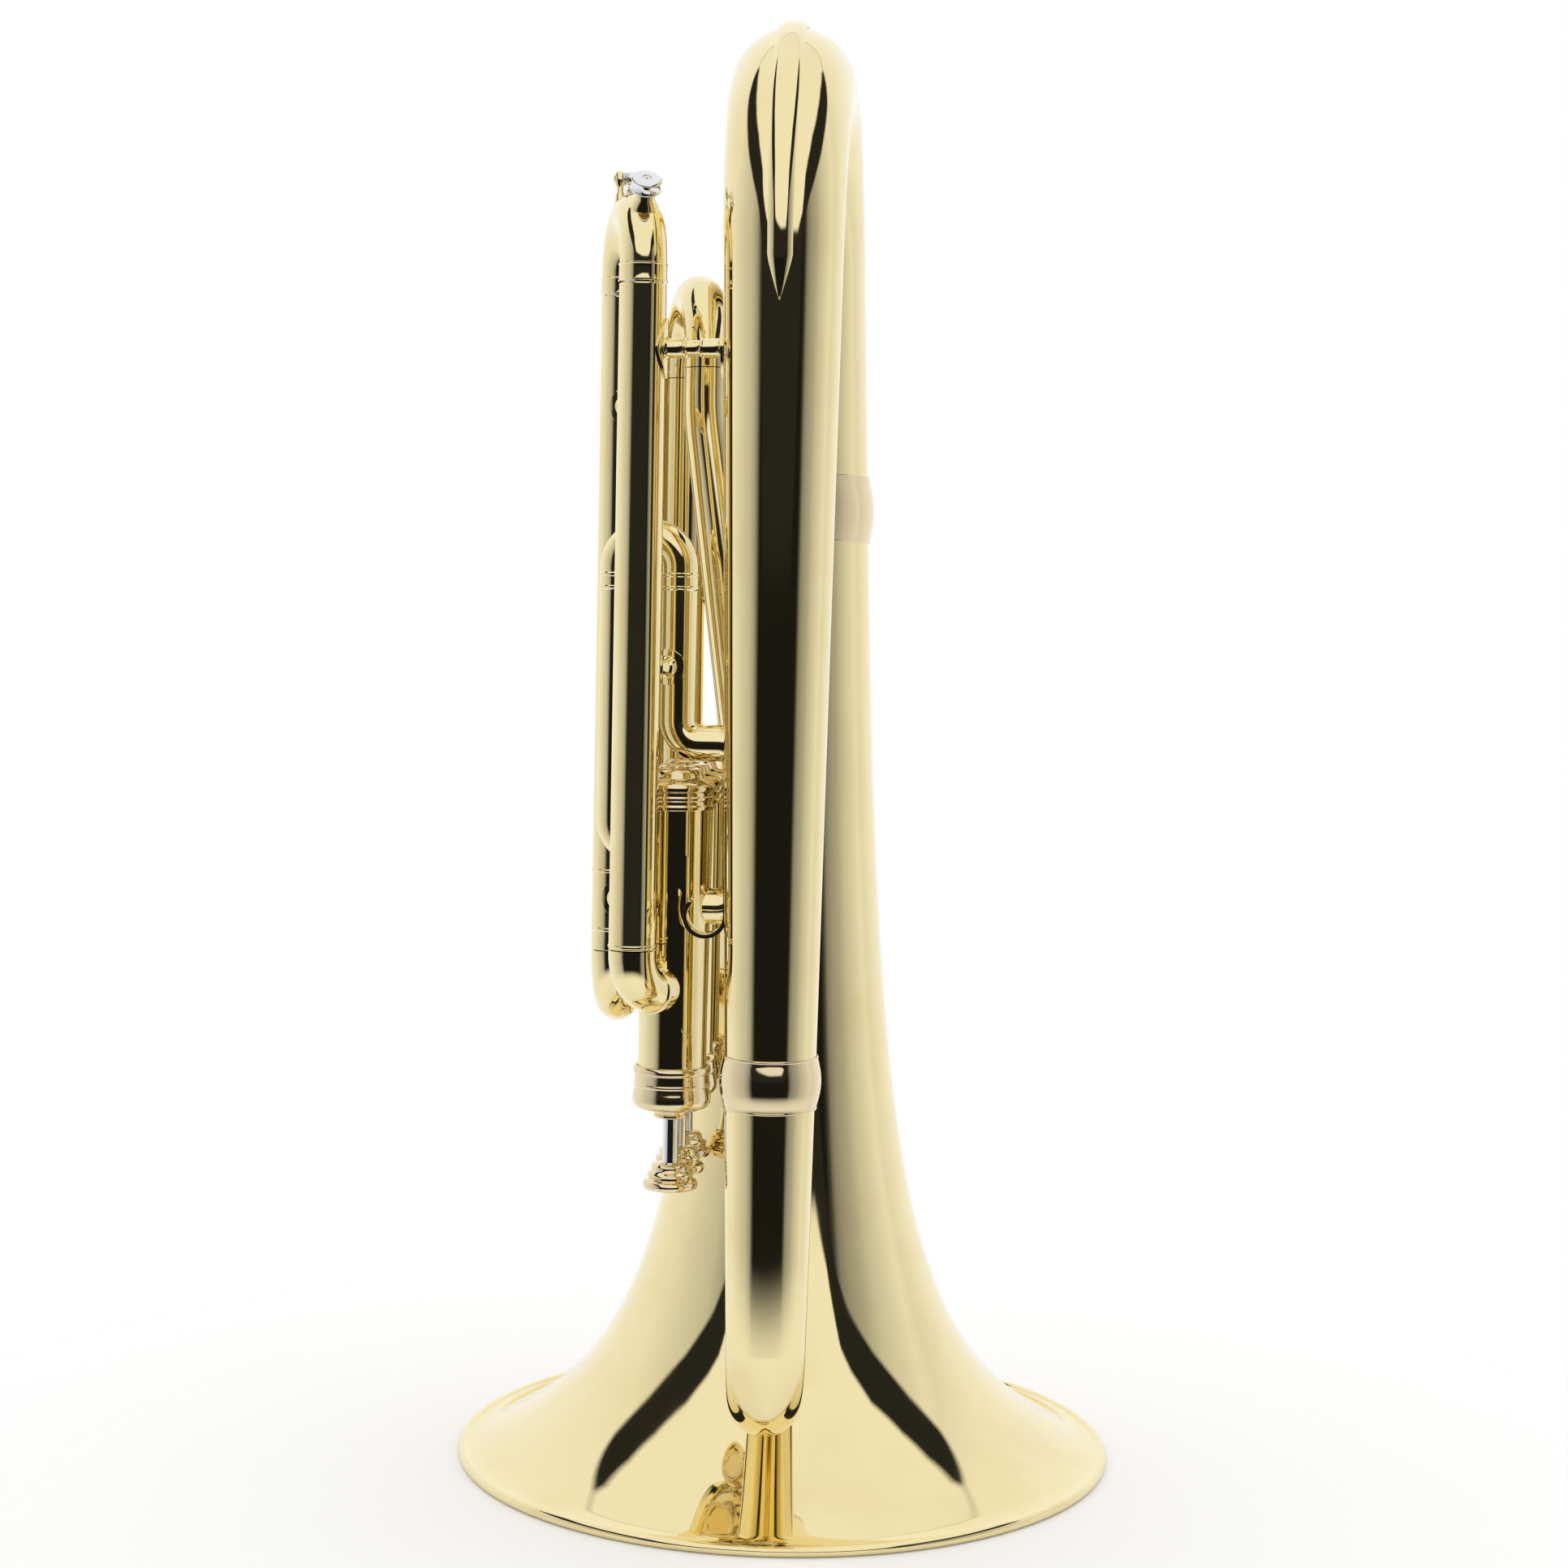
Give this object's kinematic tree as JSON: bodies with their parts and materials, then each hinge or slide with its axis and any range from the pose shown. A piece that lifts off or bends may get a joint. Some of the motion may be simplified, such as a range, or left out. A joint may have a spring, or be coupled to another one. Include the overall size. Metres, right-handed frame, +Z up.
{
  "type": "baritone horn",
  "caption": "Upright valved baritone horn standing on its bell rim: conical bell, big bow, piston valves, pull-out tuning slides and a sprung water key.",
  "frame": {"origin": "centre of the bounding box's bottom face, on the surface that the bell's rim stands on", "axes": "+Z up along the bell's axis towards the big bow, -Y towards the front branch, -X towards the valve group"},
  "size_m": [0.241, 0.268, 0.5191],
  "materials": {
    "brass": "polished lacquer",
    "gold_brass": "polished lacquer",
    "nickel": "polished plate",
    "steel": "drawn wire",
    "cork": "raw cork"
  },
  "bodies": {
    "horn": {"bell": "brass", "main_branch": "brass", "small_bow": "brass", "return_branch": "brass", "return_bow": "brass", "output_leg": "brass", "bow_guard": "brass", "first_casing": "brass", "second_casing": "brass", "third_casing": "brass", "first_knuckle": "brass", "second_knuckle": "brass", "front_slide_sleeve": "brass", "rear_slide_sleeve": "brass", "main_crook": "brass", "leadpipe": "brass", "mouthpiece_receiver": "brass", "first_left_tube": "brass", "first_right_tube": "brass", "third_left_tube": "brass", "third_right_tube": "brass", "second_low_tube": "brass", "second_high_tube": "brass", "main_stay": "brass", "upper_slide_stay": "brass", "lower_slide_stay": "brass", "bell_stay": "brass", "leadpipe_stay": "brass", "first_slide_stay": "brass", "finger_hook": "brass", "bell_ferrule": "gold_brass", "front_ferrule": "gold_brass", "return_ferrule": "gold_brass", "first_top_cap": "gold_brass", "second_top_cap": "gold_brass", "third_top_cap": "gold_brass", "first_bottom_cap": "gold_brass", "second_bottom_cap": "gold_brass", "third_bottom_cap": "gold_brass", "first_valve_spring": "steel", "second_valve_spring": "steel", "third_valve_spring": "steel"},
    "main_slide": {"main_slide_bow": "brass", "front_slide_leg": "nickel", "rear_slide_leg": "nickel", "water_key_pin": "steel"},
    "water_key": {"water_key_lever": "nickel", "water_key_cork": "cork"},
    "first_valve": {"first_piston": "nickel", "first_stem": "nickel", "first_button": "brass"},
    "second_valve": {"second_piston": "nickel", "second_stem": "nickel", "second_button": "brass"},
    "third_valve": {"third_piston": "nickel", "third_stem": "nickel", "third_button": "brass"},
    "first_slide": {"first_slide_bow": "brass"},
    "second_slide": {"second_slide_bow": "brass"},
    "third_slide": {"third_slide_bow": "brass"}
  },
  "joints": [
    {"name": "main_slide_pull", "type": "slide", "parent": "horn", "child": "main_slide", "axis": [0, 0, 1], "range_m": [0, 0.06]},
    {"name": "water_key_press", "type": "hinge", "parent": "main_slide", "child": "water_key", "pos_m": [-0.05405, -0.07593, 0.45973], "axis": [-0.9688, -0.2478, 0], "range_deg": [0, 15], "stiffness_Nm_per_rad": 0.06, "springref_deg": -28.65},
    {"name": "first_valve_press", "type": "slide", "parent": "horn", "child": "first_valve", "axis": [0, 0, 1], "range_m": [0, 0.0145], "stiffness_N_per_m": 160, "springref_m": -0.01, "deforming": ["first_valve_spring"]},
    {"name": "second_valve_press", "type": "slide", "parent": "horn", "child": "second_valve", "axis": [0, 0, 1], "range_m": [0, 0.0145], "stiffness_N_per_m": 160, "springref_m": -0.01, "deforming": ["second_valve_spring"]},
    {"name": "third_valve_press", "type": "slide", "parent": "horn", "child": "third_valve", "axis": [0, 0, 1], "range_m": [0, 0.0145], "stiffness_N_per_m": 160, "springref_m": -0.01, "deforming": ["third_valve_spring"]},
    {"name": "first_slide_pull", "type": "slide", "parent": "horn", "child": "first_slide", "axis": [0, 0, 1], "range_m": [0, 0.02]},
    {"name": "second_slide_pull", "type": "slide", "parent": "horn", "child": "second_slide", "axis": [-0.6663, 0.7457, 0], "range_m": [0, 0.008]},
    {"name": "third_slide_pull", "type": "slide", "parent": "horn", "child": "third_slide", "axis": [0, 0, 1], "range_m": [0, 0.05]}
  ]
}
